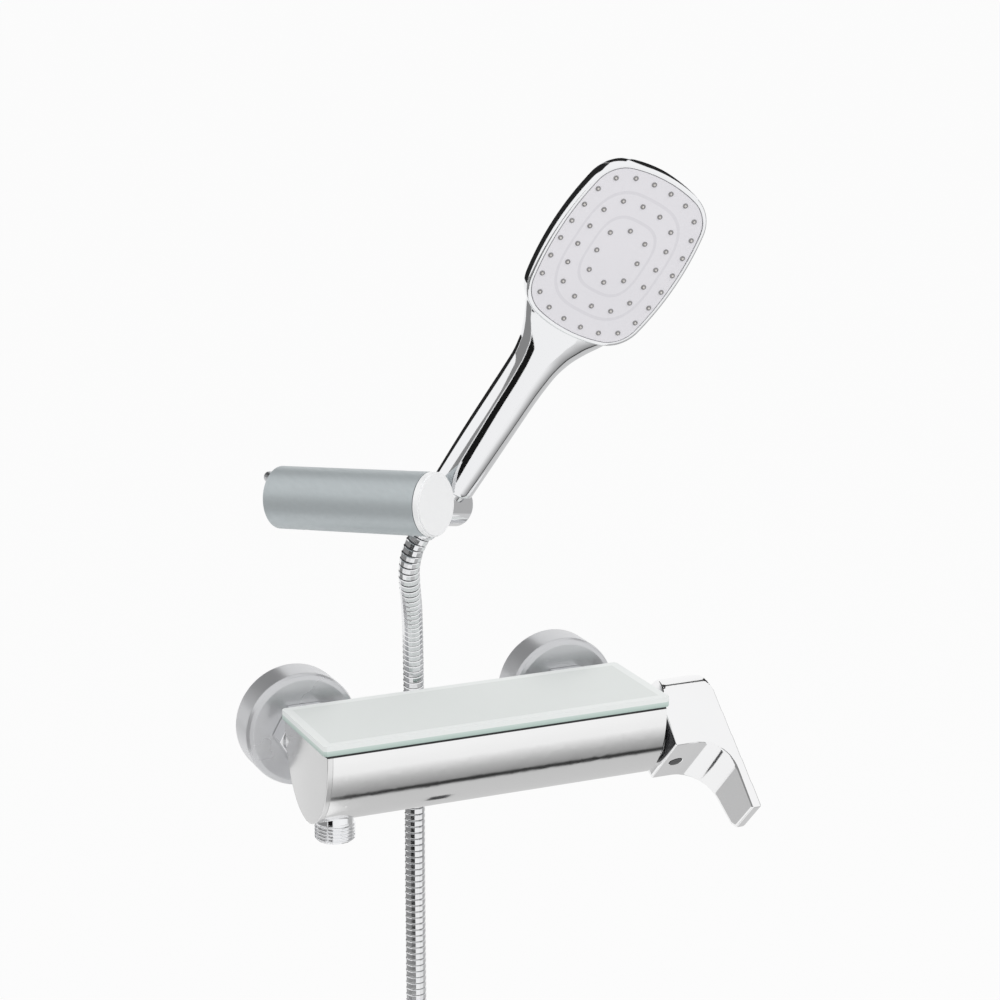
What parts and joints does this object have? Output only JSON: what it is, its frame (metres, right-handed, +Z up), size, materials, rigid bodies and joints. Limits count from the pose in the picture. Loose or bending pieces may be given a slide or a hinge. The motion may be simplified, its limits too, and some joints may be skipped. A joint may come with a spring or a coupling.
{
  "type": "wall-mounted shower set",
  "caption": "Wall shower mixer with a glass shelf and a side lever, with a handset on a swivelling wall bracket and a ribbed metal hose.",
  "frame": {"origin": "midway between the two wall unions, on the wall plane", "axes": "+Y into the wall, +Z up, +X to the right seen from the front"},
  "size_m": [0.2447, 0.1651, 0.6479],
  "materials": {
    "chrome": "polished",
    "hose_metal": "polished",
    "plated_plastic": "chrome plated",
    "face_plastic": "satin",
    "nozzle_rubber": "matte",
    "satin_metal": "satin",
    "glass": "polished",
    "black_rubber": "matte",
    "dark_plastic": "matte",
    "brass": "machined",
    "cartridge_plastic": "matte",
    "ceramic": "ground",
    "steel": "zinc plated"
  },
  "bodies": {
    "mixer": {"mixer_body": "chrome", "end_plate": "chrome", "shelf_gasket": "black_rubber", "glass_shelf": "glass", "cover_ring": "dark_plastic", "outlet_nipple": "chrome", "left_union": "brass", "right_union": "brass", "left_union_nut": "chrome", "right_union_nut": "chrome", "left_flange": "chrome", "right_flange": "chrome", "left_filter_washer": "black_rubber", "right_filter_washer": "black_rubber", "left_inlet_tail": "brass", "right_inlet_tail": "brass", "cartridge_housing": "cartridge_plastic", "cartridge_seals": "black_rubber", "fixed_disc": "ceramic", "retaining_nut": "brass", "wall_stud": "steel", "ball_cup": "cartridge_plastic", "ball_lock_ring": "cartridge_plastic", "ball_lock_screw": "steel", "bracket_sleeve": "satin_metal", "bracket_cap": "satin_metal", "axle_bush": "cartridge_plastic", "hose_upper": "hose_metal", "hose_lower": "hose_metal", "hose_coil": "hose_metal", "coil_tie": "dark_plastic", "hose_end_ferrule": "chrome"},
    "temperature_bush": {"spindle_bush": "cartridge_plastic", "lever_pin": "steel"},
    "ceramic_disc": {"moving_disc": "ceramic", "disc_carrier": "cartridge_plastic"},
    "lever": {"spindle": "steel", "lever_handle": "chrome", "handle_screw": "steel", "screw_cover": "dark_plastic"},
    "holder": {"handset_holder": "chrome", "axle_washer": "steel", "axle_screw": "steel"},
    "hose_nut": {"hose_upper_nut": "chrome", "hose_upper_ferrule": "chrome", "nut_washer": "black_rubber"},
    "handset": {"handset_shell": "plated_plastic", "spray_face": "face_plastic", "spray_nozzles": "nozzle_rubber"},
    "hose_end": {"hose_end_nut": "chrome", "end_washer": "black_rubber"}
  },
  "joints": [
    {"name": "lever_turn", "type": "hinge", "parent": "mixer", "child": "temperature_bush", "pos_m": [0.086, -0.0648, -0.008], "axis": [1, 0, 0], "range_deg": [-45, 45]},
    {"name": "lever_lift", "type": "hinge", "parent": "temperature_bush", "child": "lever", "pos_m": [0.086, -0.0648, -0.008], "axis": [0, -0.7071, 0.7071], "range_deg": [0, 18]},
    {"name": "disc_slide", "type": "slide", "parent": "temperature_bush", "child": "ceramic_disc", "axis": [0, -0.7071, -0.7071], "range_m": [0, 0.0034]},
    {"name": "holder_tilt", "type": "hinge", "parent": "mixer", "child": "holder", "pos_m": [-0.01509, -0.06358, 0.12593], "axis": [0.8198, 0.527, -0.2239], "range_deg": [-25, 25], "deforming": ["hose_upper", "hose_lower"]},
    {"name": "handset_lift", "type": "slide", "parent": "holder", "child": "hose_nut", "axis": [0.4371, -0.3234, 0.8393], "range_m": [0, 0.034], "deforming": ["hose_upper"]},
    {"name": "handset_turn", "type": "hinge", "parent": "hose_nut", "child": "handset", "pos_m": [-0.01509, -0.06358, 0.12593], "axis": [0.4371, -0.3234, 0.8393], "continuous": true},
    {"name": "hose_end_spin", "type": "hinge", "parent": "mixer", "child": "hose_end", "pos_m": [-0.0118, -0.0522, -0.327], "axis": [0, 0, -1], "continuous": true}
  ],
  "couplings": [
    {"joint": "disc_slide", "follows": "lever_lift", "m_per_rad": 0.0108}
  ]
}
